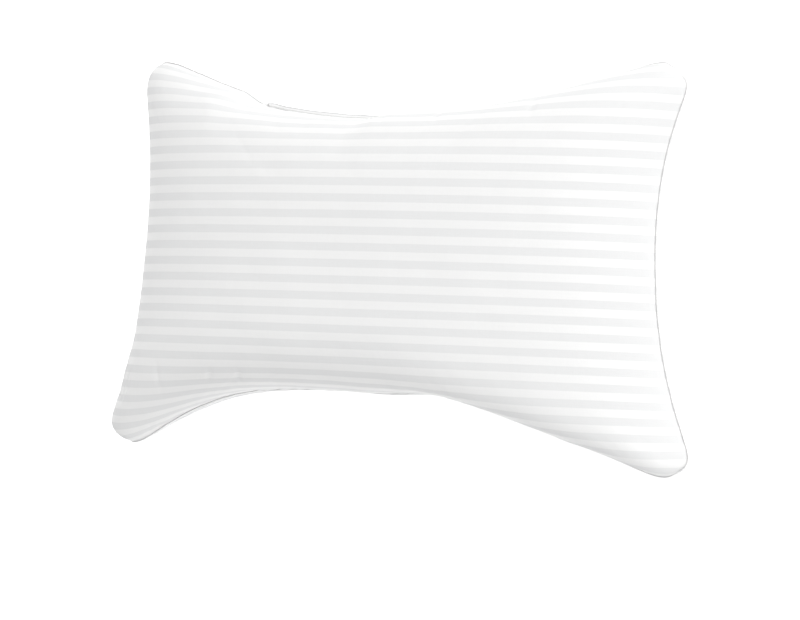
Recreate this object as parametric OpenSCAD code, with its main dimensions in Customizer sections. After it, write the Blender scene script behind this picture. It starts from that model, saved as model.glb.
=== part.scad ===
// Bed pillow: a knife-edge ticking cover of two panels, filled with fibre.
// It lies on its back: X is the length, Y the width, Z the loft, and it rests on z = 0.

/* [Outline] */
// Length between the tips of the two longer-set corners
pillow_len = 914.4; // [700:0.1:1000]
// Width between the upper and lower corners
pillow_wid = 508; // [400:0.5:600]
// How much shorter the upper long side is than the lower one
taper = 66; // [0:1:90]
// How far the upper long side is pulled in at its middle
sag_top = 73; // [20:1:90]
// How far the lower long side is pulled in at its middle
sag_bottom = 96; // [20:1:100]
// Where the lower long side is pulled in most, as a share of the half length
bottom_deepest = -0.21; // [-0.3:0.01:0.3]
// How far each short side is pulled in at its middle
sag_end = 54; // [10:1:70]
// How far each corner is rounded back along the length
tip_x = 26; // [0:1:30]
// How far each corner is rounded back across the width
tip_y = 18; // [0:1:26]

/* [Loft] */
// Height of the crown above the surface it rests on
loft = 190; // [160:1:220]
// Height of the seam at the middle of each side
seam_height = 92; // [70:1:110]
// How much lower the seam hangs at the corners
corner_droop = 16; // [0:1:45]
// Depth that the lower panel would have if nothing pressed it flat
under_depth = 120; // [96:1:140]

/* [Cover] */
// Thickness of a ticking panel
cloth_t = 1.2; // [0.8:0.1:2]
// Width of the seam allowance, turned to the inside
allowance = 10; // [6:1:12]
// Space between the two panels along the seam
seam_gap = 0.4; // [0.3:0.1:1]
// Diameter of the sewing thread
thread_d = 0.9; // [0.6:0.1:1.2]
// Diameter of the overlocked edge inside the seam
overlock_d = 1.6; // [1:0.1:2]

/* [Closing seam] */
// Where the closed fill opening starts, as a share of the half length
close_from = -0.53; // [-0.8:0.01:-0.3]
// Where the closed fill opening ends, as a share of the half length
close_to = -0.04; // [-0.2:0.01:0.3]
// Width of the folded lip that closes the fill opening
lip_w = 9; // [6:0.5:12]
// Thickness of the folded lip
lip_t = 2.2; // [1.5:0.1:3]

/* [Fill] */
// Share of the outline that the rolled core takes up
core_share = 0.7; // [0.5:0.01:0.78]
// Share of the loft that the rolled core takes up
core_loft = 0.58; // [0.4:0.01:0.66]
// Clearance between neighbouring pieces
clear = 1; // [0.6:0.1:2]

/* [Hidden] */

nu = 30;                       // steps along the length
nv = 20;                       // steps across the width
// How far a side is pulled in and its corner rounded back, t along it from -1 to 1
function skew(t, s) = (t - s) / (1 - s * t);
function in_end(t) = sag_end * (1 - pow(abs(t), 2.3)) + tip_x * pow(abs(t), 22);
function in_top(t) = sag_top * (1 - pow(abs(t), 2.2)) + tip_y * pow(abs(t), 40);
function in_bottom(t) = sag_bottom * (1 - pow(abs(skew(t, bottom_deepest)), 2.4)) + tip_y * pow(abs(t), 40);
// Half the length and width before that, so that the seam's thread reaches the full size
edge = thread_d + 0.35;
half_l = pillow_len / 2 - edge + min([for (j = [0:nv]) in_end(vs(j)) + taper / 4 * (vs(j) + 1)]);
half_top = pillow_wid / 2 - edge + min([for (i = [0:nu]) in_top(us(i))]);
half_bottom = pillow_wid / 2 - edge + min([for (i = [0:nu]) in_bottom(us(i))]);
crown = loft - seam_height;    // height of the upper panel over the seam
ticking = [0.96, 0.96, 0.95];
thread_white = [0.9, 0.9, 0.88];
fibre_white = [0.98, 0.98, 0.98];

// ---- the pillow's form, over u and v from -1 to 1 ----
function mix(a, b, t) = a + (b - a) * t;
function half_len(v) = mix(half_l, half_l - taper / 2, (v + 1) / 2);
function plan_x(u, v) = u * (half_len(v) - in_end(v));
function plan_y(u, v) = v * (v > 0 ? half_top - in_top(u) : half_bottom - in_bottom(u));
function seam_z(u, v) = seam_height - corner_droop * u * u * v * v;
function swell(u, v) = pow(max(0, 1 - pow(abs(u), 3)), 0.6) * pow(max(0, 1 - pow(abs(v), 5)), 0.42);

// A point of a surface like the cover's own, drawn in by kx and ky, with kz of its
// height, off from the seam's level, and never lower than floor_z
function upper(u, v, kx, ky, kz, off) =
    [kx * plan_x(u, v), ky * plan_y(u, v), seam_z(u, v) + off + kz * crown * swell(u, v)];
function lower(u, v, kx, ky, kz, off, floor_z) =
    [kx * plan_x(u, v), ky * plan_y(u, v), max(floor_z, seam_z(u, v) - off - kz * under_depth * swell(u, v))];

// Points are set closer towards the sides, where the surface turns over
function us(i) = sin(90 * (2 * i / nu - 1));
function vs(j) = sin(90 * (2 * j / nv - 1));

// The rim's places in order, counter-clockwise from above: [i, j] of each
rim = concat([for (i = [0:nu - 1]) [i, 0]], [for (j = [0:nv - 1]) [nu, j]],
             [for (i = [nu:-1:1]) [i, nv]], [for (j = [nv:-1:1]) [0, j]]);
nr = len(rim);

// The rim at the seam, its outward direction, a copy moved out by d, and one drawn in by d
function rim_at(k) = let (p = rim[(k + nr) % nr]) [plan_x(us(p[0]), vs(p[1])), plan_y(us(p[0]), vs(p[1]))];
function rim_z(k) = let (p = rim[(k + nr) % nr]) seam_z(us(p[0]), vs(p[1]));
function unit(a) = a / norm(a);
function rim_out(k) = let (t = unit(unit(rim_at(k + 1) - rim_at(k)) + unit(rim_at(k) - rim_at(k - 1)))) [t[1], -t[0]];
function rim_moved(k, d) = rim_at(k) + d * rim_out(k);
function in_x(d) = 1 - d / (half_l - taper / 4 - sag_end);
function in_y(d) = 1 - d / (half_bottom - sag_bottom);
function rim_inset(k, d) = [rim_at(k)[0] * in_x(d), rim_at(k)[1] * in_y(d)];

// ---- closed solids from two grids and the loops between their rims ----
function at(i, j) = i * (nv + 1) + j;
ng = (nu + 1) * (nv + 1);
function grid_faces(base, up) = [for (i = [0:nu - 1], j = [0:nv - 1], h = [0, 1])
    let (a = base + at(i, j), b = base + at(i + 1, j), c = base + at(i + 1, j + 1), d = base + at(i, j + 1),
         f = h == 0 ? [a, c, b] : [a, d, c])
    up ? f : [f[0], f[2], f[1]]];
function strip_faces(la, lb) = [for (k = [0:nr - 1], h = [0, 1])
    let (n = (k + 1) % nr)
    h == 0 ? [la[k], la[n], lb[n]] : [la[k], lb[n], lb[k]]];
function rim_ids(base) = [for (p = rim) base + at(p[0], p[1])];

// a and b are grids of points, loops a list of rim loops from a's rim to b's.
// top says that a is the upper one of the two.
module between(a, b, loops = [], top = true) {
    m = len(loops);
    ids = concat([rim_ids(0)], [for (q = [0:1:m - 1]) [for (k = [0:nr - 1]) 2 * ng + q * nr + k]], [rim_ids(ng)]);
    faces = concat(grid_faces(0, top), grid_faces(ng, !top),
                   [for (q = [0:m]) for (f = strip_faces(ids[q], ids[q + 1])) top ? f : [f[0], f[2], f[1]]]);
    polyhedron(points = concat(a, b, [for (l = loops) for (p = l) p]), faces = faces, convexity = 6);
}

function grid_upper(kx, ky, kz, off) = [for (i = [0:nu], j = [0:nv]) upper(us(i), vs(j), kx, ky, kz, off)];
function grid_lower(kx, ky, kz, off, fz) = [for (i = [0:nu], j = [0:nv]) lower(us(i), vs(j), kx, ky, kz, off, fz)];
// The inner face of a panel, cloth_t inside its outer face, side 1 the upper panel and -1 the lower
function face_at(i, j, side) = side > 0
    ? upper(us(i), vs(j), 1, 1, 1 - (seam_gap / 2) / crown, seam_gap / 2)
    : lower(us(i), vs(j), 1, 1, 1, seam_gap / 2, -200);
function inside_at(i, j, side) = i == 0 || i == nu || j == 0 || j == nv
    ? [plan_x(us(i), vs(j)) * in_x(cloth_t), plan_y(us(i), vs(j)) * in_y(cloth_t), seam_z(us(i), vs(j)) + side * turn]
    : let (n = unit(cross(face_at(i + 1, j, side) - face_at(i - 1, j, side), face_at(i, j + 1, side) - face_at(i, j - 1, side))),
           p = face_at(i, j, side) - side * cloth_t * n)
      [p[0], p[1], side > 0 ? p[2] : max(cloth_t, p[2])];
function grid_face(side) = [for (i = [0:nu], j = [0:nv]) face_at(i, j, side)];
function grid_inside(side) = [for (i = [0:nu], j = [0:nv]) inside_at(i, j, side)];
function loop_at(d, off) = [for (k = [0:nr - 1]) [rim_inset(k, d)[0], rim_inset(k, d)[1], rim_z(k) + off]];

// A round thread along the whole seam, outside it by d, or inside it if d is negative
module seam_cord(d, r, sides = 5) {
    pts = [for (k = [0:nr - 1], s = [0:sides - 1])
        let (c = d > 0 ? rim_moved(k, d) : rim_inset(k, -d), o = rim_out(k), a = 360 * s / sides)
        [c[0] + r * cos(a) * o[0], c[1] + r * cos(a) * o[1], rim_z(k) + r * sin(a)]];
    faces = [for (k = [0:nr - 1], s = [0:sides - 1], h = [0, 1])
        let (n = (k + 1) % nr, t = (s + 1) % sides,
             a = k * sides + s, b = n * sides + s, c = n * sides + t, e = k * sides + t)
        h == 0 ? [a, c, b] : [a, e, c]];
    polyhedron(points = pts, faces = faces, convexity = 6);
}

// A flat ribbon along the upper side's seam, from y0 to y1 outside it and z0 to z1 over it
module seam_ribbon(from, to, y0, y1, z0, z1, n = 16) {
    pts = [for (i = [0:n]) let (u = mix(from, to, i / n), x = plan_x(u, 1), y = plan_y(u, 1), z = seam_z(u, 1))
        each [[x, y + y0, z + z0], [x, y + y1, z + z0], [x, y + y1, z + z1], [x, y + y0, z + z1]]];
    sides = [for (i = [0:n - 1], s = [0:3], h = [0, 1])
        let (t = (s + 1) % 4, a = 4 * i + s, b = 4 * i + 4 + s, c = 4 * i + 4 + t, e = 4 * i + t)
        h == 0 ? [a, b, c] : [a, c, e]];
    polyhedron(points = pts, faces = concat(sides, [[0, 1, 2], [0, 2, 3], [4 * n + 2, 4 * n + 1, 4 * n], [4 * n + 3, 4 * n + 2, 4 * n]]), convexity = 4);
}

wx = in_x(allowance + overlock_d + 3);
wy = in_y(allowance + overlock_d + 3);
turn = seam_gap / 2 + 0.7;     // level of the allowance's inner face over the seam
in_floor = cloth_t + clear;    // lowest level of the fill
room_x = 0.013;                // how much larger the wraps' hollow is than the core, along
room_y = 0.027;                // and across, so that the drawn-out corners stay clear too

// ---- the pieces ----
module cover_top_panel() {
    color(ticking)
    between(grid_face(1), grid_inside(1),
            [loop_at(allowance, seam_gap / 2), loop_at(allowance, turn)]);
}
module cover_bottom_panel() {
    color(ticking)
    difference() {
        between(grid_face(-1), grid_inside(-1),
                [loop_at(allowance, -seam_gap / 2), loop_at(allowance, -turn)], top = false);
        translate([-600, -400, -300]) cube([1200, 800, 300]);
    }
}
module seam_thread() {
    color(thread_white) seam_cord(thread_d / 2 + 0.35, thread_d / 2);
}
module overlock_thread() {
    color(thread_white) seam_cord(-allowance - overlock_d / 2 - 0.5, overlock_d / 2);
}
module closing_lip() {
    color(ticking) seam_ribbon(close_from, close_to, thread_d + 0.7, thread_d + 0.7 + lip_w, -lip_t / 2, lip_t / 2);
}
module closing_topstitch() {
    color(thread_white) for (y = [2.2, lip_w - 1.2])
        seam_ribbon(close_from + 0.012, close_to - 0.012, thread_d + y, thread_d + y + 0.6, lip_t / 2 + 0.03, lip_t / 2 + 0.43);
}
module closing_bartacks() {
    color(thread_white) for (u = [close_from + 0.005, close_to - 0.005])
        seam_ribbon(u - 0.003, u + 0.003, thread_d + 1.4, thread_d + lip_w, lip_t / 2 + 0.03, lip_t / 2 + 0.53, n = 1);
}
module fill_core_batt() {
    color(fibre_white)
    between(grid_upper(core_share, core_share, core_loft, clear / 2),
            grid_lower(core_share, core_share, core_loft, clear / 2, in_floor));
}
module fill_upper_wrap() {
    color(fibre_white)
    between(grid_upper(wx, wy, 1 - (turn + cloth_t + clear) / crown, clear / 2),
            grid_upper(core_share + room_x, core_share + room_y, core_loft + 0.012, clear / 2));
}
module fill_lower_wrap() {
    color(fibre_white)
    between(grid_lower(wx, wy, 1 - (turn + cloth_t + clear) / under_depth, clear / 2, in_floor),
            grid_lower(core_share + room_x, core_share + room_y, core_loft + 0.012, clear / 2, in_floor), top = false);
}

cover_top_panel();
cover_bottom_panel();
seam_thread();
overlock_thread();
closing_lip();
closing_topstitch();
closing_bartacks();
fill_core_batt();
fill_upper_wrap();
fill_lower_wrap();
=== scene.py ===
import bpy
import math
import numpy as np
from mathutils import Matrix, Vector


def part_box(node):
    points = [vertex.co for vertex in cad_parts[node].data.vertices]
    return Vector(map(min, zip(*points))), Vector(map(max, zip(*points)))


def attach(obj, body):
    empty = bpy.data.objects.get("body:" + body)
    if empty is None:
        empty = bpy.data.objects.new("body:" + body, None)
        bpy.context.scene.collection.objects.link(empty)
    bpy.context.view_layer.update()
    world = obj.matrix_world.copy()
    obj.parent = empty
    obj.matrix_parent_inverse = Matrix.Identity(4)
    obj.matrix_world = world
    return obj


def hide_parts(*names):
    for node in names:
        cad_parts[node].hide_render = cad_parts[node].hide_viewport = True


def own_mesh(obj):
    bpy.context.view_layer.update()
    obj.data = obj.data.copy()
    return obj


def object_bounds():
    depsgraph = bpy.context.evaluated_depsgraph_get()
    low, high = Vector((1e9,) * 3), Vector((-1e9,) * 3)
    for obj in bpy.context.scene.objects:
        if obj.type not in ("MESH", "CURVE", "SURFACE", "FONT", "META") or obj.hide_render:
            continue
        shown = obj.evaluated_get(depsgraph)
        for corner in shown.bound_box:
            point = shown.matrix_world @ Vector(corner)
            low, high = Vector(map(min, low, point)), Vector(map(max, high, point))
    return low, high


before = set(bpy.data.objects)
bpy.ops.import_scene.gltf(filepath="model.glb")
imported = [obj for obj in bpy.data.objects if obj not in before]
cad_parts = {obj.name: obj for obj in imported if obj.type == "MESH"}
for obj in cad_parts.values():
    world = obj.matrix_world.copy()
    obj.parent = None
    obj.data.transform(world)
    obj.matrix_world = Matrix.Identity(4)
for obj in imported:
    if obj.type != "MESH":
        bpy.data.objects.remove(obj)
cad_box = [list(c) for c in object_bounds()]

# ---------------------------------------------------------------- the frame's sizes
lo, hi = Vector(cad_box[0]), Vector(cad_box[1])
top_lo, top_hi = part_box("cover_top_panel")
lip_lo, lip_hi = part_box("closing_lip")
LENGTH, WIDTH, LOFT = (hi.x - lo.x) * 1000, (hi.y - lo.y) * 1000, hi.z * 1000
LOWER, UPPER = "lying_half", "crown_half"

# ---------------------------------------------------------------- the form, in mm
SEAM_Z, DROOP = 92.0, 16.0
CROWN, UNDER = LOFT - SEAM_Z, 120.0
SAG_END, SAG_TOP, SAG_BOTTOM, DEEPEST = 54.0, 73.0, 96.0, -0.21
TAPER = 66.0
HALF_L = LENGTH / 2 + 18.4
HALF_W = WIDTH / 2 + 17.5


def skew(t, s):
    return (t - s) / (1 - s * t)


def in_end(t):
    return SAG_END * (1 - np.abs(t) ** 2.3) + 26 * np.abs(t) ** 22


def in_top(t):
    return SAG_TOP * (1 - np.abs(t) ** 2.2) + 18 * np.abs(t) ** 40


def in_bottom(t):
    return SAG_BOTTOM * (1 - np.abs(skew(t, DEEPEST)) ** 2.4) + 18 * np.abs(t) ** 40


def bump(t, a, b, soft):
    """1 between a and b, falling smoothly to 0 over soft outside them."""
    d = np.maximum(np.maximum(a - t, t - b), 0) / soft
    return np.where(d < 1, (1 - np.minimum(d, 1) ** 2) ** 2, 0.0)


def form(u, v, side):
    """A point of the cover before it is blown up: side 1 is the upper panel, -1 the lower."""
    u, v = np.broadcast_arrays(np.asarray(u, float), np.asarray(v, float))
    x = u * (HALF_L - TAPER / 2 * (v + 1) / 2 - in_end(v))
    y = v * np.where(v > 0, HALF_W - in_top(u), HALF_W - in_bottom(u))
    z = SEAM_Z - DROOP * u * u * v * v
    # near the lower right corner the seam has rolled up onto the front, and so has the end
    # seam near the lower left one
    low = np.clip(-v, 0, 1) ** 6
    roll = bump(u, 0.30, 0.86, 0.34) * low
    z = z + 26 * roll
    y = y + 13 * roll
    end = np.clip(-u, 0, 1) ** 8 * bump(v, -0.9, -0.66, 0.3)
    z = z + 18 * end
    x = x + 10 * end
    # the closed opening draws the seam in a little, and the corners are blunt lobes
    up_, left, right = np.clip(v, 0, 1) ** 4, np.clip(-u, 0, 1), np.clip(u, 0, 1)
    y = y - up_ * (10 * bump(u, -0.52, -0.08, 0.12) + 5 * bump(u, -0.4, 0.25, 0.55))
    y = y + 10 * np.clip(-v, 0, 1) ** 4 * bump(u, -0.45, 0.2, 0.5)
    blunt = (1 - left ** 4 * np.clip(v, 0, 1) ** 4) * (1 - 0.6 * right)
    x = x - np.sign(u) * 12 * blunt * np.abs(u) ** 4 * np.abs(v) ** 24
    y = y - np.sign(v) * 9 * blunt * np.abs(v) ** 4 * np.abs(u) ** 24
    y = y - 5 * right ** 7 * np.clip(v, 0, 1) ** 3 + 7 * left ** 8 * np.clip(-v, 0, 1) ** 3
    x = x + 7 * right ** 10 * np.clip(-v, 0, 1) ** 10
    y = y - 5 * right ** 8 * np.clip(-v, 0, 1) ** 6
    h = np.maximum(0, 1 - np.abs(u) ** 3) ** 0.6
    if side > 0:
        z = z + (CROWN - 0.5) * h * np.maximum(0, 1 - np.abs(v) ** 5) ** 0.42
    else:
        z = z - UNDER * h * np.maximum(0, 1 - np.abs(v) ** 5) ** 0.42
    return np.stack([x, y, z], -1)


def evenly(nu, nv, side):
    """Values of u and v that step evenly along the surface both ways."""
    a, b = np.meshgrid(np.linspace(-1, 1, nu + 1), np.linspace(-1, 1, nv + 1), indexing="ij")
    fine = np.sin(np.pi / 2 * np.linspace(-1, 1, 401))
    for _ in range(3):
        na, nb = np.empty_like(a), np.empty_like(b)
        for j in range(nv + 1):
            p = form(fine, np.interp(fine, a[:, j], b[:, j]), side)
            s = np.r_[0, np.cumsum(np.linalg.norm(np.diff(p, axis=0), axis=1))]
            na[:, j] = np.interp(np.linspace(0, s[-1], nu + 1), s, fine)
        for i in range(nu + 1):
            p = form(np.interp(fine, b[i], na[i]), fine, side)
            s = np.r_[0, np.cumsum(np.linalg.norm(np.diff(p, axis=0), axis=1))]
            nb[i] = np.interp(np.linspace(0, s[-1], nv + 1), s, fine)
        a, b = na, nb
    # the cloth's own lines run smoothly from end to end
    for _ in range(int(220 * (nu / 120) ** 2)):
        b[1:-1] = 0.25 * b[:-2] + 0.5 * b[1:-1] + 0.25 * b[2:]
    return a, b


def arc(p):
    return float(np.linalg.norm(np.diff(p, axis=0), axis=1).sum())


# ---------------------------------------------------------------- two panels, sewn and blown up
NU, NV = ((120, 68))
FRAMES = 30
FILL_HOLDS = 0.6


def sewn():
    grids = [form(*evenly(NU, NV, s), s) for s in (1, -1)]
    rim = np.zeros((NU + 1, NV + 1), bool)
    rim[0] = rim[-1] = True
    rim[:, 0] = rim[:, -1] = True
    top, bot = grids
    bot[rim] = top[rim]
    long_top, long_bottom, left, right = arc(top[:, -1]), arc(top[:, 0]), arc(top[0]), arc(top[-1])
    ease = 1.004
    flat_w = (left + right) / 2 * ease
    uu, vv = np.meshgrid(np.linspace(-1, 1, NU + 1), np.linspace(-1, 1, NV + 1), indexing="ij")
    half = (long_bottom + (long_top - long_bottom) * (vv + 1) / 2) / 2 * ease
    flat = np.stack([uu * half, vv * flat_w / 2, np.zeros_like(uu)], -1)
    ids = -np.ones((2, NU + 1, NV + 1), int)
    ids[0] = np.arange((NU + 1) * (NV + 1)).reshape(NU + 1, NV + 1)
    inner = ~rim
    ids[1][rim] = ids[0][rim]
    ids[1][inner] = (NU + 1) * (NV + 1) + np.arange(inner.sum())
    points = np.vstack([top.reshape(-1, 3), bot[inner]]) / 1000
    start = (top.copy(), bot.copy())
    rest = np.vstack([flat.reshape(-1, 3), flat[inner]]) / 1000
    faces = []
    for s in (0, 1):
        q = ids[s]
        f = np.stack([q[:-1, :-1], q[1:, :-1], q[1:, 1:], q[:-1, 1:]], -1).reshape(-1, 4)
        faces.append(f if s == 0 else f[:, ::-1])
    me = bpy.data.meshes.new("sewn")
    me.from_pydata(points.tolist(), [], np.vstack(faces).tolist())
    ob = bpy.data.objects.new("sewn", me)
    bpy.context.scene.collection.objects.link(ob)
    ob.shape_key_add(name="Basis")
    key = ob.shape_key_add(name="flat")
    key.data.foreach_set("co", rest.ravel())
    key.value = 0
    group = ob.vertex_groups.new(name="seam")
    group.add([int(x) for x in ids[0][rim]], 1.0, "REPLACE")
    mod = ob.modifiers.new("Cloth", "CLOTH")
    c = mod.settings
    c.quality, c.mass = 4, 0.001
    c.tension_stiffness = c.compression_stiffness = 80
    c.shear_stiffness, c.bending_stiffness = 20, 0.02
    c.tension_damping = c.compression_damping = c.shear_damping = 10
    c.bending_damping, c.air_damping = 1, 3
    c.use_pressure, c.uniform_pressure_force = True, 6.0
    c.vertex_group_mass, c.pin_stiffness = "seam", 1
    c.rest_shape_key = key
    c.effector_weights.gravity = 0
    mod.collision_settings.use_collision = False
    mod.collision_settings.use_self_collision = False
    mod.point_cache.frame_start, mod.point_cache.frame_end = 1, FRAMES
    scene = bpy.context.scene
    scene.frame_start, scene.frame_end = 1, FRAMES
    for f in range(1, FRAMES + 1):
        scene.frame_set(f)
    e = ob.evaluated_get(bpy.context.evaluated_depsgraph_get())
    m = e.to_mesh()
    co = np.empty(len(m.vertices) * 3)
    m.vertices.foreach_get("co", co)
    e.to_mesh_clear()
    scene.frame_set(1)
    bpy.data.objects.remove(ob)
    bpy.data.meshes.remove(me)
    co = co.reshape(-1, 3) * 1000
    # the fill holds the cover to its form in part, where air pressure alone would round it off
    made = []
    for k, a in enumerate(start):
        n = np.cross(np.gradient(a, axis=0), np.gradient(a, axis=1))
        n /= np.maximum(np.linalg.norm(n, axis=-1, keepdims=True), 1e-9)
        moved = co[ids[k]] - a
        across = (moved * n).sum(-1, keepdims=True) * n
        across[rim] = 0
        made.append(a + (1 - FILL_HOLDS) * across)
    return made[0], made[1], flat[..., :2], (long_top, long_bottom, left, right)


upper_grid, lower_grid, flat_grid, arcs = sewn()


# ---------------------------------------------------------------- finer grids
def cubic(values, at):
    """values along axis 0 read at fractional places, by a Catmull-Rom curve."""
    n = len(values)
    i = np.clip(np.floor(at).astype(int), 0, n - 2)
    t = (at - i).reshape((-1,) + (1,) * (values.ndim - 1))
    p1, p2 = values[i], values[i + 1]
    p0 = np.where((i > 0).reshape(t.shape), values[np.maximum(i - 1, 0)], 2 * p1 - p2)
    p3 = np.where((i < n - 2).reshape(t.shape), values[np.minimum(i + 2, n - 1)], 2 * p2 - p1)
    return 0.5 * (2 * p1 + (p2 - p0) * t + (2 * p0 - 5 * p1 + 4 * p2 - p3) * t ** 2
                  + (3 * p1 - p0 - 3 * p2 + p3) * t ** 3)


def graded(n, cells, tight):
    """n + 1 places from 0 to cells, closer together at both ends."""
    t = np.linspace(-1, 1, n + 1)
    w = (1 - tight) * t + tight * np.sin(np.pi / 2 * t)
    return (w + 1) / 2 * cells


MU, MV = ((280, 168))
at_u, at_v = graded(MU, NU, 0.5), graded(MV, NV, 0.55)


def refined(g):
    return np.swapaxes(cubic(np.swapaxes(cubic(g, at_u), 0, 1), at_v), 0, 1)


def normals(g, sign):
    a, b = np.gradient(g, axis=0), np.gradient(g, axis=1)
    n = np.cross(a, b)
    return sign * n / np.maximum(np.linalg.norm(n, axis=-1, keepdims=True), 1e-9)


def noise2(x, y, seed, cell):
    """Smooth value noise from -1 to 1 over x and y in mm."""
    r = np.random.default_rng(seed)
    table = r.uniform(-1, 1, (256, 256))
    xi, yi = x / cell + 64, y / cell + 64
    i, j = np.floor(xi).astype(int), np.floor(yi).astype(int)
    fx, fy = xi - i, yi - j
    fx, fy = fx * fx * (3 - 2 * fx), fy * fy * (3 - 2 * fy)
    t = lambda p, q: table[p % 256, q % 256]
    return ((t(i, j) * (1 - fx) + t(i + 1, j) * fx) * (1 - fy)
            + (t(i, j + 1) * (1 - fx) + t(i + 1, j + 1) * fx) * fy)


top = refined(upper_grid)
bot = refined(lower_grid)
flat = refined(flat_grid)


def lengthwise(g):
    """The weave's place on a panel: along it, and its distance across from the middle line."""
    s = np.concatenate([np.zeros((len(g), 1)), np.cumsum(np.linalg.norm(np.diff(g, axis=1), axis=-1), axis=1)], 1)
    part = slice(MV // 4, MV - MV // 4)
    s0 = np.array([np.interp(0, g[i, part, 1], s[i, part]) for i in range(len(g))])
    return np.stack([flat[..., 0], s - s0[:, None]], -1)


top_weave, bot_weave = lengthwise(top), lengthwise(bot)
U = (at_u / NU * 2 - 1)[:, None] * np.ones((1, MV + 1))
V = np.ones((MU + 1, 1)) * (at_v / NV * 2 - 1)[None, :]


def edge_share(reach_u, reach_v):
    """1 on the seam, 0 further in than reach mm of cloth, for each side of the panel."""
    du = (1 - np.abs(U)) * LENGTH / 2
    dv = (1 - np.abs(V)) * WIDTH / 2
    return np.clip(1 - du / reach_u, 0, 1), np.clip(1 - dv / reach_v, 0, 1)


# from, to, depth and half width, in mm over the upper panel
PINCHES = (((-408, -152), (-428, -188), 3.4, 4.5), ((-396, -160), (-418, -194), 2.4, 4.0),
           ((-234, -146), (-246, -158), 1.8, 3.5), ((-186, -146), (-200, -160), 1.8, 3.5),
           ((-330, -140), (-333, -176), 1.2, 4.5), ((18, 176), (10, 190), 1.6, 4.0),
           ((104, 178), (98, 194), 1.6, 4.0), ((250, 186), (242, 206), 1.8, 4.5))


def relief(seed, sign):
    """Height of the fine puckers and soft dents over the blown-up cloth, in mm."""
    fx, fy = flat[..., 0], flat[..., 1]
    eu, ev = edge_share(34, 34)
    along_x = noise2(fx, fy * 0.15, seed, 13) + 0.6 * noise2(fx, fy * 0.2, seed + 1, 6.5)
    along_y = noise2(fy, fx * 0.15, seed + 2, 14) + 0.6 * noise2(fy, fx * 0.2, seed + 3, 7)
    strength_x = 0.35 + 0.65 * np.clip(noise2(fx, V * 0, seed + 4, 70) + 0.3, 0, 1)
    near = lambda e: (e ** 1.6) * (1 - e ** 14 * 0.6)
    h = 1.25 * near(ev) * along_x * strength_x + 0.7 * near(eu) * along_y
    if sign > 0:
        # the turned edge shows through beside the closed opening, and a deeper groove beyond it
        dv = (1 - V) * WIDTH / 2
        h -= 1.1 * np.exp(-((dv - 9) / 2.2) ** 2) * bump(U, -0.52, -0.05, 0.04)
        h -= 2.2 * np.exp(-((dv - 6) / 3.5) ** 2) * bump(U, 0.0, 0.4, 0.12)
        # a double pinch running into the lower left corner, and short slanting puckers
        for (ax, ay), (bx, by), deep, wide in PINCHES:
            t = np.clip(((top[..., 0] - ax) * (bx - ax) + (top[..., 1] - ay) * (by - ay))
                        / ((bx - ax) ** 2 + (by - ay) ** 2), 0, 1)
            d = np.hypot(top[..., 0] - ax - t * (bx - ax), top[..., 1] - ay - t * (by - ay))
            h -= deep * np.exp(-(d / wide) ** 2) * np.sin(np.pi * (0.15 + 0.7 * t))
    broad = 1 - np.maximum(eu, ev)
    h += broad * (0.55 * noise2(fx, fy, seed + 5, 62) + 0.3 * noise2(fx, fy, seed + 6, 27))
    return h


def flattened(g, floor_z, soft):
    """g pressed smoothly onto the level floor_z."""
    z = g[..., 2] - floor_z
    g = g.copy()
    g[..., 2] = floor_z + 0.5 * (z + np.sqrt(z * z + soft * soft))
    return g


top = top + normals(top, 1) * relief(11, 1)[..., None]
bot = bot + normals(bot, -1) * relief(31, -1)[..., None]
rim_mask = np.zeros((MU + 1, MV + 1), bool)
rim_mask[0] = rim_mask[-1] = True
rim_mask[:, 0] = rim_mask[:, -1] = True
bot[rim_mask] = top[rim_mask]
bot = flattened(bot, 0.0, 3.0)
bot[..., 2] -= bot[..., 2].min()

# ---------------------------------------------------------------- panels as closed shells
rim_order = ([(i, 0) for i in range(MU)] + [(MU, j) for j in range(MV)]
             + [(i, MV) for i in range(MU, 0, -1)] + [(0, j) for j in range(MV, 0, -1)])
RI, RJ = np.array([p[0] for p in rim_order]), np.array([p[1] for p in rim_order])
NR = len(rim_order)
seam = top[RI, RJ]
CLOTH = 0.9


def loop_out(points):
    """Outward direction of a closed loop in plan."""
    t = np.roll(points, -1, 0) - np.roll(points, 1, 0)
    t[:, 2] = 0
    t /= np.linalg.norm(t, axis=1, keepdims=True)
    return np.stack([t[:, 1], -t[:, 0], np.zeros(len(t))], 1)


def smooth_loop(a, times):
    for _ in range(times):
        a = 0.25 * np.roll(a, 1, 0) + 0.5 * a + 0.25 * np.roll(a, -1, 0)
    return a


seam_out = smooth_loop(loop_out(seam), 10)
seam_out /= np.linalg.norm(seam_out, axis=1, keepdims=True)
seam_along = np.roll(seam, -1, 0) - np.roll(seam, 1, 0)
seam_along /= np.linalg.norm(seam_along, axis=1, keepdims=True)
seam_length = np.r_[0, np.cumsum(np.linalg.norm(np.diff(np.vstack([seam, seam[:1]]), axis=0), axis=1))]


def scaled_in(d):
    """The seam drawn in by about d, without crossing itself at the corners."""
    p = seam.copy()
    p[:, 0] *= 1 - d / (LENGTH / 2 - SAG_END)
    p[:, 1] *= 1 - d / (WIDTH / 2 - SAG_BOTTOM)
    # half scaled and half moved square to the seam, for a more even allowance at the corners
    return 0.5 * p + 0.5 * (seam - seam_out * d)


def new_object(name, verts, faces, smooth=True):
    if not np.isfinite(verts).all():
        raise ValueError(name + " has a point that is not a number")
    me = bpy.data.meshes.new(name)
    me.from_pydata((np.asarray(verts) / 1000).tolist(), [], [list(map(int, f)) for f in faces])
    me.validate()
    ob = bpy.data.objects.new(name, me)
    bpy.context.scene.collection.objects.link(ob)
    if smooth:
        me.polygons.foreach_set("use_smooth", [True] * len(me.polygons))
    me.update()
    return ob


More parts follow.
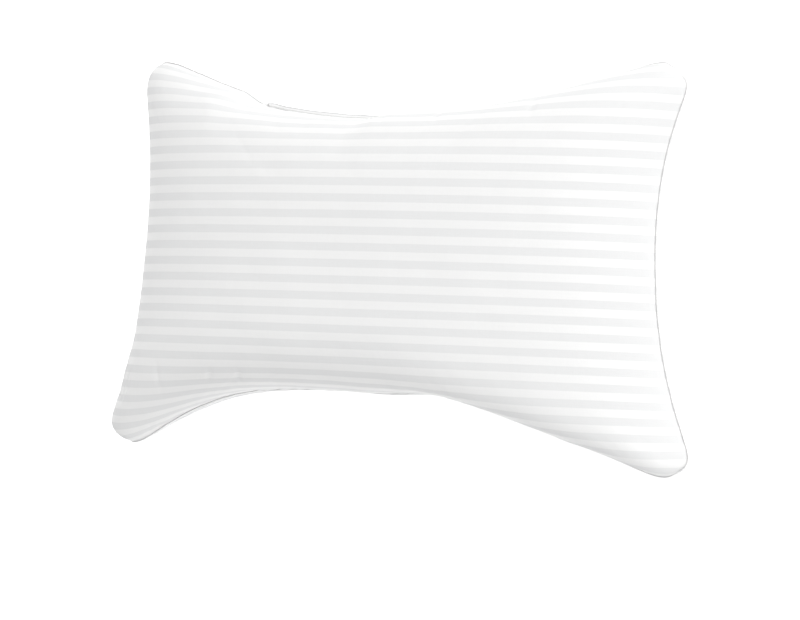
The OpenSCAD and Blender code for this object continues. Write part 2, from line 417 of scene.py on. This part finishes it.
def shell(name, outer, sign, weave):
    """A cloth panel: outer face, inner face, and the allowance turned in along the seam."""
    n = normals(outer, sign)
    inner = outer - n * CLOTH
    # the inner face starts at the allowance's fold
    gap = 0.12
    size = (MU + 1) * (MV + 1)
    idx = np.arange(size).reshape(MU + 1, MV + 1)
    o = outer.copy()
    o[RI, RJ, 2] += sign * gap
    i_ = inner.copy()
    rim_in = scaled_in(1.6)
    rim_in[:, 2] += sign * (gap + CLOTH + 0.2)
    i_[RI, RJ] = rim_in
    f1 = scaled_in(10.0)
    f2 = f1.copy()
    f1[:, 2] += sign * gap
    f2[:, 2] += sign * (gap + CLOTH)
    verts = np.vstack([o.reshape(-1, 3), i_.reshape(-1, 3), f1, f2])
    quad = np.stack([idx[:-1, :-1], idx[1:, :-1], idx[1:, 1:], idx[:-1, 1:]], -1).reshape(-1, 4)
    a, b = idx[RI, RJ], idx[RI, RJ] + size
    c, d = 2 * size + np.arange(NR), 2 * size + NR + np.arange(NR)
    strips = []
    for p, q in ((a, c), (c, d), (d, b)):
        strips.append(np.stack([np.roll(p, -1), p, q, np.roll(q, -1)], -1))
    faces = np.vstack([quad, quad[:, ::-1] + size] + strips)
    if sign < 0:
        faces = faces[:, ::-1]
    ob = new_object(name, verts, faces)
    rim_weave = weave[RI, RJ]
    uv = np.vstack([weave.reshape(-1, 2), weave.reshape(-1, 2), rim_weave, rim_weave]) / 1000
    layer = ob.data.uv_layers.new(name="cloth")
    loops = np.empty(len(ob.data.loops), int)
    ob.data.loops.foreach_get("vertex_index", loops)
    layer.data.foreach_set("uv", uv[loops].ravel())
    return ob


panel_top = shell("ticking_upper", top, 1, top_weave)
panel_bot = shell("ticking_lower", bot, -1, bot_weave)


# ---------------------------------------------------------------- threads
def tube(name, path, radius, sides=6, closed=False, up=None):
    """A round thread along a path, with its ends closed."""
    path = np.asarray(path, float)
    n = len(path)
    if closed:
        t = np.roll(path, -1, 0) - np.roll(path, 1, 0)
    else:
        t = np.gradient(path, axis=0)
    t /= np.linalg.norm(t, axis=1, keepdims=True)
    ref = np.array([0, 0, 1.0]) if up is None else np.asarray(up, float)
    a = np.cross(t, np.broadcast_to(ref, t.shape))
    a /= np.maximum(np.linalg.norm(a, axis=1, keepdims=True), 1e-6)
    b = np.cross(a, t)
    ang = np.linspace(0, 2 * np.pi, sides, endpoint=False)
    r = np.broadcast_to(np.asarray(radius, float), (n,))
    ring = (path[:, None] + r[:, None, None] * (np.cos(ang)[None, :, None] * a[:, None]
                                               + np.sin(ang)[None, :, None] * b[:, None]))
    i = np.arange(n if closed else n - 1)
    j = (i + 1) % n
    k = np.arange(sides)
    l = (k + 1) % sides
    q = np.stack([i[:, None] * sides + k, i[:, None] * sides + l, j[:, None] * sides + l,
                  j[:, None] * sides + k], -1).reshape(-1, 4)
    faces = q[:, ::-1].tolist()
    if not closed:
        faces += [list(range(sides))[::1], [(n - 1) * sides + x for x in range(sides)][::-1]]
    return ring.reshape(-1, 3), faces


def joined(name, parts, smooth=True):
    verts, faces, base = [], [], 0
    for v, f in parts:
        verts.append(np.asarray(v))
        faces += [[x + base for x in face] for face in f]
        base += len(v)
    return new_object(name, np.vstack(verts), faces, smooth)


def along_seam(step, inset=0.0, wanted=None):
    """Points about step apart round the seam: place, outward and along directions."""
    loop = scaled_in(inset) if inset else seam
    ring = np.vstack([loop, loop[:1]])
    s = np.r_[0, np.cumsum(np.linalg.norm(np.diff(ring, axis=0), axis=1))]
    n = wanted or int(round(s[-1] / step))
    at = np.linspace(0, s[-1], n, endpoint=False)
    pick = lambda a: np.stack([np.interp(at, s, np.append(a[:, k], a[0, k])) for k in range(3)], 1)
    out = pick(seam_out)
    out /= np.linalg.norm(out, axis=1, keepdims=True)
    return pick(loop), out, at, s[-1]


STITCH = 3.4


def seam_stitches():
    """The lockstitch seen in the groove of the seam: it dips at every stitch."""
    n = int(round(seam_length[-1] / STITCH)) * 6
    p, out, at, total = along_seam(0.6, wanted=n)
    phase = np.arange(n) / 6 * 2 * np.pi
    r = 0.42 + 0.05 * np.cos(phase)
    path = p + out * (0.42 + 0.16 * np.cos(phase))[:, None]
    path[:, 2] += 0.20 * np.sin(phase / 2)
    return joined("seam_stitches", [tube("t", path, r, 6, True)])


def overlock():
    """Looped thread over the cut edge of the allowance, inside the cover."""
    turns = int(round(seam_length[-1] / 3.6))
    n = turns * 7
    p, out, at, total = along_seam(0.5, inset=10.0, wanted=n)
    phase = np.arange(n) / 7 * 2 * np.pi
    wide = 1.35
    path = p - out * (0.2 + 1.0 * np.cos(phase) * 1.0)[:, None]
    path[:, 2] += wide * np.sin(phase)
    return joined("overlock_loops", [tube("t", path, 0.28, 5, True)])


# ---------------------------------------------------------------- the closed fill opening
LIP_A, LIP_B = lip_lo.x * 1000, lip_hi.x * 1000
TOPROW = top[:, MV]


def top_edge(x):
    """The upper long side's seam at x: place and outward direction."""
    order = np.argsort(TOPROW[:, 0])
    row = TOPROW[order]
    p = np.stack([x, np.interp(x, row[:, 0], row[:, 1]), np.interp(x, row[:, 0], row[:, 2])], 1)
    t = np.gradient(p, axis=0)
    t[:, 2] = 0
    t /= np.linalg.norm(t, axis=1, keepdims=True)
    return p, np.stack([-t[:, 1], t[:, 0], np.zeros(len(t))], 1)


def lip_surface(n):
    """Along the lip: the seam, outward direction, height of its free edge, and its width."""
    x = np.linspace(LIP_A, LIP_B, n)
    p, out = top_edge(x)
    s = (x - LIP_A) / (LIP_B - LIP_A)
    end = np.clip(np.minimum(s, 1 - s) / 0.045, 0, 1) ** 0.5
    width = 6.4 * (0.4 + 0.6 * end) * (1 - 0.15 * s) + 0.5 * noise2(x, x * 0, 71, 21)
    lift = 0.9 * noise2(x, x * 0, 72, 26) + 0.5 * noise2(x, x * 0, 73, 11)
    return x, p, out, width, lift * end


def lip_point(p, out, width, lift, across, height):
    """A point of the lip: across 0 at the seam to 1 at its free edge, height over its middle."""
    d = 0.5 + across * (width - 0.5)
    q = p + out * d[..., None]
    q = q.copy()
    rise = np.maximum(across, 0)
    q[..., 2] += height + lift * rise ** 1.5 + 1.2 * rise ** 2
    return q


def leaf(low, high, n=170):
    """One folded edge of cloth: a flat loop with rounded edges."""
    x, p, out, width, lift = lip_surface(n)
    mid, half = (low + high) / 2, (high - low) / 2
    section = []
    for k in range(9):
        section.append((k / 8, 1.0))
    section += [(1.0 + 0.035, 0.0)]
    for k in range(8, -1, -1):
        section.append((k / 8, -1.0))
    section += [(-0.03, 0.0)]
    m = len(section)
    rings = []
    for a, h in section:
        soft = half * (1 - 0.12 * (2 * min(max(a, 0), 1) - 1) ** 6)
        pucker = 0.10 * noise2(x, x * 0 + a * 4, 74, 6)
        rings.append(lip_point(p, out, width, lift, np.full(n, a), mid + h * soft + (pucker if h else 0)))
    v = np.stack(rings, 1).reshape(-1, 3)
    i, k = np.meshgrid(np.arange(n - 1), np.arange(m), indexing="ij")
    l = (k + 1) % m
    q = np.stack([i * m + k, i * m + l, (i + 1) * m + l, (i + 1) * m + k], -1).reshape(-1, 4).tolist()
    q += [list(range(m))[::-1], [(n - 1) * m + t for t in range(m)]]
    flat_uv = np.stack([np.repeat(x, m), np.tile([a * 9 for a, _ in section], n) + WIDTH / 2], 1)
    return v, q, flat_uv


def closing_lip():
    v1, f1, u1 = leaf(0.06, 1.06)
    v2, f2, u2 = leaf(-1.06, -0.06)
    ob = joined("closing_lip_fold", [(v1, f1), (v2, f2)])
    uv = np.vstack([u1, u2]) / 1000
    layer = ob.data.uv_layers.new(name="cloth")
    loops = np.empty(len(ob.data.loops), int)
    ob.data.loops.foreach_get("vertex_index", loops)
    layer.data.foreach_set("uv", uv[loops].ravel())
    return ob


def topstitch():
    parts = []
    for across, shift in ((0.24, 0.0), (0.84, 0.4)):
        n = int((LIP_B - LIP_A - 6) / 3.0) * 8
        x = np.linspace(LIP_A + 3, LIP_B - 3, n)
        xs, p, out, width, lift = lip_surface(400)
        f = lambda a: np.interp(x, xs, a)
        pp = np.stack([f(p[:, k]) for k in range(3)], 1)
        oo = np.stack([f(out[:, k]) for k in range(3)], 1)
        w, li = f(width), f(lift)
        phase = np.arange(n) / 8 * 2 * np.pi + shift
        h = 1.20 + 0.16 * np.clip(np.cos(phase) + 0.45, -0.9, 0.5) * 2
        path = lip_point(pp, oo, w, li, np.full(n, across), h)
        parts.append(tube("t", path, 0.26, 6))
        path = lip_point(pp, oo, w, li, np.full(n, across), -h)
        parts.append(tube("t", path, 0.26, 6))
    return joined("topstitch_rows", parts)


def bartacks():
    parts = []
    for side in (0, 1):
        n = 46
        k = np.arange(n)
        xs, p, out, width, lift = lip_surface(400)
        base = LIP_A + 1.6 if side == 0 else LIP_B - 1.6
        x = base + 1.1 * np.where(k % 2, 1, -1)
        across = np.linspace(0.08, 0.9, n)
        f = lambda a: np.interp(x, xs, a)
        pp = np.stack([f(p[:, c]) for c in range(3)], 1)
        oo = np.stack([f(out[:, c]) for c in range(3)], 1)
        fine_at = np.linspace(0, n - 1, n * 4)
        path = lip_point(pp, oo, f(width), f(lift), across, np.full(n, 1.36))
        path = np.stack([np.interp(fine_at, k, path[:, c]) for c in range(3)], 1)
        path[:, 2] += 0.12 * np.cos(fine_at * np.pi * 2) ** 2
        parts.append(tube("t", path, 0.24, 5))
    return joined("bartack_threads", parts)


seam_thread = seam_stitches()
overlock_thread = overlock()
lip = closing_lip()
stitches = topstitch()
tacks = bartacks()


# ---------------------------------------------------------------- fibre fill
def coarse(g, nu_, nv_):
    a, b = graded(nu_, MU, 0.3), graded(nv_, MV, 0.35)
    return np.swapaxes(cubic(np.swapaxes(cubic(g, a), 0, 1), b), 0, 1)


FU, FV = ((150, 92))
TOP_C, BOT_C = coarse(top, FU, FV), coarse(bot, FU, FV)
FRI = np.array([p[0] for p in ([(i, 0) for i in range(FU)] + [(FU, j) for j in range(FV)]
                               + [(i, FV) for i in range(FU, 0, -1)] + [(0, j) for j in range(FV, 0, -1)])])
FRJ = np.array([p[1] for p in ([(i, 0) for i in range(FU)] + [(FU, j) for j in range(FV)]
                               + [(i, FV) for i in range(FU, 0, -1)] + [(0, j) for j in range(FV, 0, -1)])])


def drawn(g, share_x, share_y, share_z, lift):
    """A panel's form drawn in towards the middle of the seam's plane."""
    q = g.copy()
    q[..., 0] *= share_x
    q[..., 1] *= share_y
    q[..., 2] = SEAM_Z - 3 + (q[..., 2] - (SEAM_Z - 3)) * share_z + lift
    return q


def fluffed(g, sign, seed, amount):
    """The lumps and tufts of fibre: only ever inwards, so that a batt stays in its place."""
    n = normals(g, sign)
    x, y = g[..., 0], g[..., 1]
    h = (0.55 * noise2(x, y, seed, 46) + 0.3 * noise2(x, y * 1.6, seed + 1, 19) + 0.15 * noise2(x, y, seed + 2, 8))
    edge = np.minimum(np.minimum(np.arange(FU + 1)[:, None], FU - np.arange(FU + 1)[:, None]),
                      np.minimum(np.arange(FV + 1)[None, :], FV - np.arange(FV + 1)[None, :]))
    return g - n * ((0.5 + 0.5 * h) * amount * np.clip(edge / 3, 0, 1))[..., None]


def batt(name, a, b, up):
    """A closed body between two grids that meet at their rims."""
    size = (FU + 1) * (FV + 1)
    idx = np.arange(size).reshape(FU + 1, FV + 1)
    quad = np.stack([idx[:-1, :-1], idx[1:, :-1], idx[1:, 1:], idx[:-1, 1:]], -1).reshape(-1, 4)
    p, q = idx[FRI, FRJ], idx[FRI, FRJ] + size
    strip = np.stack([np.roll(p, -1), p, q, np.roll(q, -1)], -1)
    faces = np.vstack([quad, quad[:, ::-1] + size, strip])
    if not up:
        faces = faces[:, ::-1]
    return new_object(name, np.vstack([a.reshape(-1, 3), b.reshape(-1, 3)]), faces)


CORE, CORE_H = 0.70, 0.58
core_top = fluffed(drawn(TOP_C, CORE, CORE, CORE_H, 0.6), 1, 51, 5.0)
core_bot = fluffed(drawn(BOT_C, CORE, CORE, CORE_H, -0.6), -1, 55, 4.0)
core = batt("fibre_core", core_top, core_bot, True)
wrap_up = batt("fibre_wrap_upper", fluffed(drawn(TOP_C, 0.962, 0.915, 0.955, 0.8), 1, 61, 3.0),
               fluffed(drawn(TOP_C, CORE + 0.013, CORE + 0.027, CORE_H + 0.014, 0.8), -1, 62, 0.0), True)
low_out = drawn(BOT_C, 0.962, 0.915, 0.955, -0.8)
wrap_low = batt("fibre_wrap_lower", fluffed(low_out, -1, 65, 1.6),
                fluffed(drawn(BOT_C, CORE + 0.013, CORE + 0.027, CORE_H + 0.014, -0.8), 1, 66, 0.0), False)


# ---------------------------------------------------------------- materials
def material(name):
    m = bpy.data.materials.new(name)
    m.use_nodes = True
    m.node_tree.nodes.clear()
    out = m.node_tree.nodes.new("ShaderNodeOutputMaterial")
    bsdf = m.node_tree.nodes.new("ShaderNodeBsdfPrincipled")
    m.node_tree.links.new(bsdf.outputs[0], out.inputs[0])
    return m, m.node_tree.nodes, m.node_tree.links, bsdf


def maths(N, L):
    def node(op, a, b=None, c=None):
        n = N.new("ShaderNodeMath")
        n.operation = op
        for k, x in enumerate((a, b, c)):
            if x is None:
                continue
            if isinstance(x, (int, float)):
                n.inputs[k].default_value = x
            else:
                L.new(x, n.inputs[k])
        return n.outputs[0]
    return node


def noise_node(N, L, coords, scale, detail=3, rough=0.55):
    n = N.new("ShaderNodeTexNoise")
    n.inputs["Scale"].default_value = scale
    n.inputs["Detail"].default_value = detail
    n.inputs["Roughness"].default_value = rough
    L.new(coords, n.inputs["Vector"])
    return n.outputs[0]


def smooth_step(N, L, value, a, b, lo_=0.0, hi_=1.0):
    r = N.new("ShaderNodeMapRange")
    r.interpolation_type = "SMOOTHSTEP"
    r.inputs[1].default_value, r.inputs[2].default_value = a, b
    r.inputs[3].default_value, r.inputs[4].default_value = lo_, hi_
    L.new(value, r.inputs[0])
    return r.outputs[0]


def tinted(N, L, colour_a, colour_b, share, factor):
    """Two colours mixed by share, then multiplied by a grey factor."""
    mix = N.new("ShaderNodeMix")
    mix.data_type = "RGBA"
    mix.inputs["A"].default_value = (*colour_a, 1)
    mix.inputs["B"].default_value = (*colour_b, 1)
    L.new(share, mix.inputs["Factor"])
    grey = N.new("ShaderNodeCombineColor")
    for k in range(3):
        L.new(factor, grey.inputs[k])
    mul = N.new("ShaderNodeMix")
    mul.data_type = "RGBA"
    mul.blend_type = "MULTIPLY"
    mul.inputs["Factor"].default_value = 1
    L.new(mix.outputs["Result"], mul.inputs["A"])
    L.new(grey.outputs[0], mul.inputs["B"])
    return mul.outputs["Result"]


PITCH = 0.0208
STRIPE_SHIFT = 0.25


def ticking_material():
    m, N, L, bsdf = material("satin_stripe_ticking")
    F = maths(N, L)
    uv = N.new("ShaderNodeUVMap")
    uv.uv_map = "cloth"
    sep = N.new("ShaderNodeSeparateXYZ")
    L.new(uv.outputs[0], sep.inputs[0])
    x, y = sep.outputs[0], sep.outputs[1]
    tc = N.new("ShaderNodeTexCoord").outputs["Object"]
    # stripes across the width: 0 in the middle of a satin one, 0.5 in the middle of a plain one
    phase = F("FRACT", F("ADD", F("DIVIDE", y, PITCH), 40 + STRIPE_SHIFT))
    off = F("ABSOLUTE", F("SUBTRACT", phase, 0.5))
    plain = smooth_step(N, L, off, 0.232, 0.268)
    fine = noise_node(N, L, tc, 1100, 2)
    mid = noise_node(N, L, tc, 160, 3)
    soft = noise_node(N, L, tc, 9, 2)
    # slubs: threads a little thicker or greyer, drawn out along each direction
    def slub(sx, sy):
        mp = N.new("ShaderNodeMapping")
        mp.inputs["Scale"].default_value = (sx, sy, 1)
        L.new(uv.outputs[0], mp.inputs["Vector"])
        return noise_node(N, L, mp.outputs[0], 1, 2)
    warp, weft = slub(14, 1500), slub(1500, 20)
    grey = F("ADD", 0.905, F("MULTIPLY", fine, 0.05))
    grey = F("ADD", grey, F("MULTIPLY", warp, 0.05))
    grey = F("ADD", grey, F("MULTIPLY", weft, 0.035))
    grey = F("ADD", grey, F("MULTIPLY", mid, 0.02))
    grey = F("ADD", grey, F("MULTIPLY", soft, 0.035))
    L.new(tinted(N, L, (0.895, 0.895, 0.892), (0.812, 0.815, 0.816), plain, grey), bsdf.inputs["Base Color"])
    L.new(F("ADD", F("ADD", F("MULTIPLY", plain, 0.26), 0.42), F("MULTIPLY", mid, 0.08)), bsdf.inputs["Roughness"])
    bsdf.inputs["Specular IOR Level"].default_value = 0.32
    bsdf.inputs["Sheen Weight"].default_value = 0.12
    bsdf.inputs["Sheen Roughness"].default_value = 0.45
    bsdf.inputs["Sheen Tint"].default_value = (1, 1, 1, 1)
    # weave: square on the plain stripes, long floats along the length on the satin ones
    wx = F("SINE", F("MULTIPLY", x, 2 * math.pi / 0.00085))
    wy = F("SINE", F("MULTIPLY", y, 2 * math.pi / 0.00085))
    floats = F("MULTIPLY", F("SINE", F("MULTIPLY", y, 2 * math.pi / 0.00055)), 0.45)
    weave = N.new("ShaderNodeMix")
    weave.data_type = "FLOAT"
    L.new(plain, weave.inputs["Factor"])
    L.new(floats, weave.inputs["A"])
    L.new(F("MULTIPLY", wx, wy), weave.inputs["B"])
    height = F("ADD", F("MULTIPLY", weave.outputs["Result"], 0.00003), F("MULTIPLY", plain, -0.00005))
    height = F("ADD", height, F("MULTIPLY", fine, 0.00006))
    height = F("ADD", height, F("MULTIPLY", warp, 0.00008))
    bump_node = N.new("ShaderNodeBump")
    bump_node.inputs["Strength"].default_value = 0.55
    bump_node.inputs["Distance"].default_value = 1.0
    L.new(height, bump_node.inputs["Height"])
    L.new(bump_node.outputs[0], bsdf.inputs["Normal"])
    return m


def thread_material(name, colour, rough, twist):
    m, N, L, bsdf = material(name)
    F = maths(N, L)
    tc = N.new("ShaderNodeTexCoord").outputs["Object"]
    fine, soft = noise_node(N, L, tc, 2600, 3), noise_node(N, L, tc, 60, 2)
    darker = tuple(c * 0.86 for c in colour)
    L.new(tinted(N, L, colour, darker, smooth_step(N, L, fine, 0.4, 0.7), F("ADD", 0.95, F("MULTIPLY", soft, 0.08))),
          bsdf.inputs["Base Color"])
    L.new(F("ADD", rough, F("MULTIPLY", fine, 0.15)), bsdf.inputs["Roughness"])
    bsdf.inputs["Sheen Weight"].default_value = 0.2
    wave = N.new("ShaderNodeTexWave")
    wave.wave_type = "BANDS"
    wave.bands_direction = "DIAGONAL"
    wave.inputs["Scale"].default_value = twist
    wave.inputs["Distortion"].default_value = 1.5
    L.new(tc, wave.inputs["Vector"])
    h = F("ADD", F("MULTIPLY", wave.outputs["Fac"], 0.00006), F("MULTIPLY", fine, 0.00004))
    bump_node = N.new("ShaderNodeBump")
    bump_node.inputs["Strength"].default_value = 0.7
    bump_node.inputs["Distance"].default_value = 1.0
    L.new(h, bump_node.inputs["Height"])
    L.new(bump_node.outputs[0], bsdf.inputs["Normal"])
    return m


def fibre_material(name, colour, scale):
    m, N, L, bsdf = material(name)
    F = maths(N, L)
    tc = N.new("ShaderNodeTexCoord").outputs["Object"]
    mp = N.new("ShaderNodeMapping")
    mp.inputs["Scale"].default_value = (0.25, 1, 1)
    L.new(tc, mp.inputs["Vector"])
    strands = noise_node(N, L, mp.outputs[0], scale, 6, 0.7)
    lumps = noise_node(N, L, tc, 24, 3)
    L.new(tinted(N, L, colour, tuple(c * 0.82 for c in colour), smooth_step(N, L, strands, 0.42, 0.72),
                 F("ADD", 0.93, F("MULTIPLY", lumps, 0.1))), bsdf.inputs["Base Color"])
    bsdf.inputs["Roughness"].default_value = 0.95
    bsdf.inputs["Specular IOR Level"].default_value = 0.12
    bsdf.inputs["Sheen Weight"].default_value = 0.35
    bsdf.inputs["Sheen Roughness"].default_value = 0.7
    bump_node = N.new("ShaderNodeBump")
    bump_node.inputs["Strength"].default_value = 0.8
    bump_node.inputs["Distance"].default_value = 1.0
    L.new(F("ADD", F("MULTIPLY", strands, 0.0012), F("MULTIPLY", lumps, 0.002)), bump_node.inputs["Height"])
    L.new(bump_node.outputs[0], bsdf.inputs["Normal"])
    return m


TICKING = ticking_material()
# the sewing thread's grey, darker than the overlock thread's, is partly painted shade: it darkens the stitched seam
# line as if its groove held shade
SEWING = thread_material("sewing_thread_with_painted_shade", (0.74, 0.74, 0.735), 0.45, 900)
OVERLOCK = thread_material("overlock_thread_white", (0.84, 0.84, 0.82), 0.7, 700)
CORE_FIBRE = fibre_material("fibre_core_white", (0.9, 0.9, 0.89), 420)
WRAP_FIBRE = fibre_material("fibre_wrap_white", (0.92, 0.92, 0.915), 300)

# ---------------------------------------------------------------- bodies and materials
PIECES = (
    # piece, body, CAD nodes it stands for, slot, material, padded fill
    (panel_top, UPPER, "cover_top_panel", "striped_ticking", TICKING, 0.85),
    (panel_bot, LOWER, "cover_bottom_panel", "striped_ticking", TICKING, 0.85),
    (seam_thread, LOWER, "seam_thread", "sewing_thread", SEWING, None),
    (overlock_thread, LOWER, "overlock_thread", "overlock_thread", OVERLOCK, None),
    (lip, LOWER, "closing_lip", "striped_ticking", TICKING, None),
    (stitches, LOWER, "closing_topstitch", "sewing_thread", SEWING, None),
    (tacks, LOWER, "closing_bartacks", "sewing_thread", SEWING, None),
    (core, LOWER, "fill_core_batt", "fibre_core", CORE_FIBRE, 0.8),
    (wrap_up, UPPER, "fill_upper_wrap", "fibre_wrap", WRAP_FIBRE, 0.8),
    (wrap_low, LOWER, "fill_lower_wrap", "fibre_wrap", WRAP_FIBRE, 0.8),
)
for ob, body, node_name, slot_name, mat, fill in PIECES:
    ob.data.materials.append(mat)
    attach(ob, body)
    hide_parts(node_name)
    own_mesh(ob)

# ---------------------------------------------------------------- floor, light, camera
floor_me = bpy.data.meshes.new("floor")
s = 6.0
floor_me.from_pydata([(-s, -s, 0), (s, -s, 0), (s, s, 0), (-s, s, 0)], [], [(0, 1, 2, 3)])
floor = bpy.data.objects.new("floor", floor_me)
bpy.context.scene.collection.objects.link(floor)
fm, N, L, b = material("floor_white")
b.inputs["Base Color"].default_value = (0.96, 0.96, 0.96, 1)
b.inputs["Roughness"].default_value = 0.9
b.inputs["Specular IOR Level"].default_value = 0.1
b.inputs["Emission Color"].default_value = (1, 1, 1, 1)
b.inputs["Emission Strength"].default_value = 0.5
floor_me.materials.append(fm)


def camera():
    phi, theta, roll, dist = math.radians(36.95), math.radians(-1.67), math.radians(2.685), 6.0
    back = Vector((math.sin(phi) * math.cos(theta), math.sin(theta), math.cos(phi) * math.cos(theta)))
    right = Vector((0, 1, 0)).cross(back).normalized()
    up = back.cross(right)
    c, s_ = math.cos(roll), math.sin(roll)
    right, up = c * right + s_ * up, -s_ * right + c * up
    aim = Vector((0, 0, 0.09))
    cam = bpy.data.cameras.new("camera")
    cam.sensor_width = 36
    cam.lens = 4686 / 800 * 36
    cam.shift_x = (400 - 392.6) / 800
    cam.shift_y = (263.3 - 310) / 800
    cam.clip_start, cam.clip_end = 0.1, 50
    ob = bpy.data.objects.new("camera", cam)
    bpy.context.scene.collection.objects.link(ob)
    m = Matrix((right, up, back)).transposed().to_4x4()
    m.translation = aim + back * dist
    ob.matrix_world = m
    bpy.context.scene.camera = ob
    return aim, right, up, back


aim, cam_right, cam_up, cam_back = camera()


def area(name, place, target, size, power, colour=(1, 1, 1)):
    l = bpy.data.lights.new(name, "AREA")
    l.shape, l.size, l.energy, l.color = "DISK", size, power, colour
    ob = bpy.data.objects.new(name, l)
    bpy.context.scene.collection.objects.link(ob)
    ob.location = place
    ob.rotation_mode = "QUATERNION"
    ob.rotation_quaternion = (Vector(place) - Vector(target)).to_track_quat("Z", "Y")
    return ob


key_dir = (cam_up * 0.4 + cam_back * 1.0 - cam_right * 0.2).normalized()
area("key", aim + key_dir * 7.0, aim, 4.0, 300)
world = bpy.data.worlds.new("world")
bpy.context.scene.world = world
world.use_nodes = True
bg = world.node_tree.nodes["Background"]
bg.inputs[0].default_value = (1, 1, 1, 1)
bg.inputs[1].default_value = 0.50
bpy.context.scene.view_settings.view_transform = "Standard"

bpy.context.view_layer.update()
